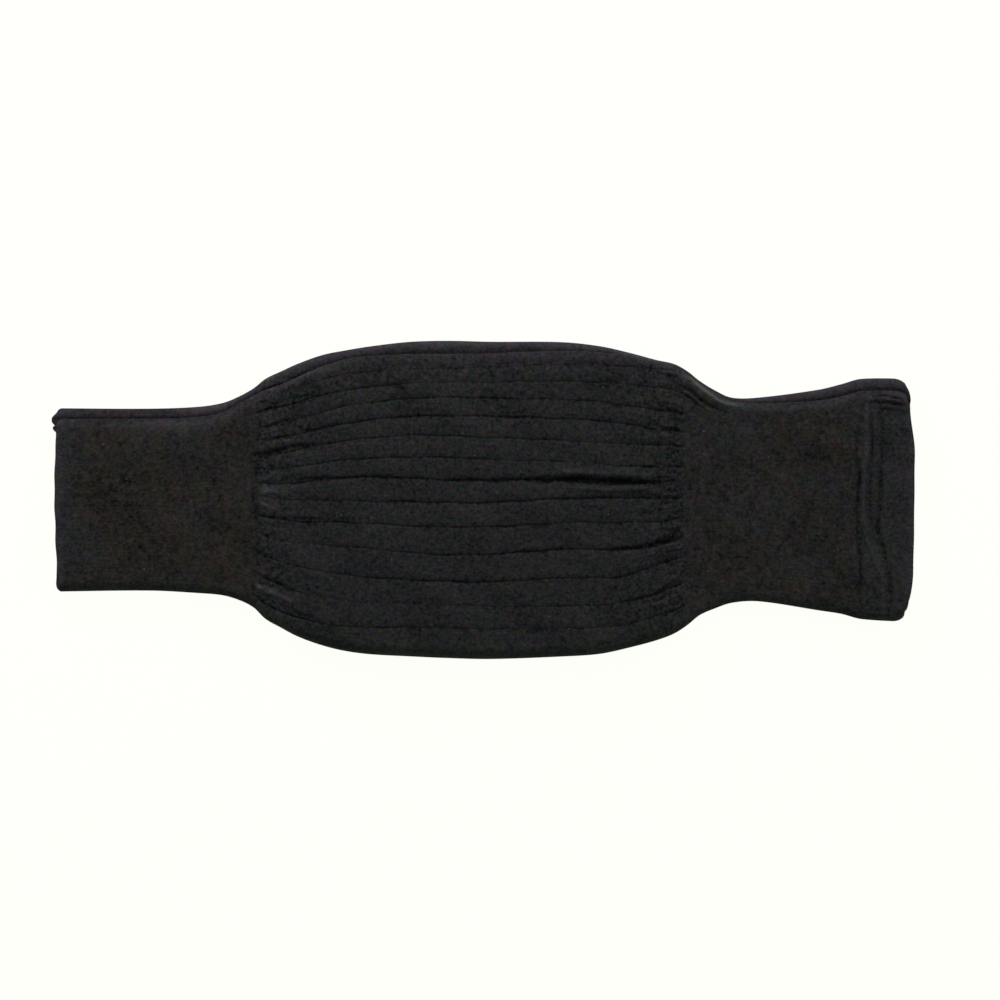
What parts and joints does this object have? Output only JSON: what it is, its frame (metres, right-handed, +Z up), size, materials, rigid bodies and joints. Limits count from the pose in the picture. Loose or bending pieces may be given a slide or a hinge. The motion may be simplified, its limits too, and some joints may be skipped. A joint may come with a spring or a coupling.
{
  "type": "pair of knee warmers",
  "caption": "Pair of dark knitted knee warmers laid flat one on the other, each a tube with plain cuffs and a wide ribbed, gathered knee panel.",
  "frame": {"origin": "under the middle of the pair's box, on the surface that it lies on", "axes": "+X along the leg from the calf end to the thigh end, +Y across it, +Z up from the surface"},
  "size_m": [0.45, 0.1651, 0.0168],
  "materials": {
    "cuff_knit": "matte, fine plain wool knit in a brownish black, slightly fuzzy",
    "rib_knit": "matte, ribbed wool knit in charcoal black, slightly fuzzy"
  },
  "bodies": {
    "root": {"upper_calf_cuff": "cuff_knit", "upper_knee_panel": "rib_knit", "upper_thigh_cuff": "cuff_knit", "upper_thigh_welt": "cuff_knit", "lower_calf_cuff": "cuff_knit", "lower_knee_panel": "rib_knit", "lower_thigh_cuff": "cuff_knit", "lower_thigh_welt": "cuff_knit"}
  },
  "joints": []
}
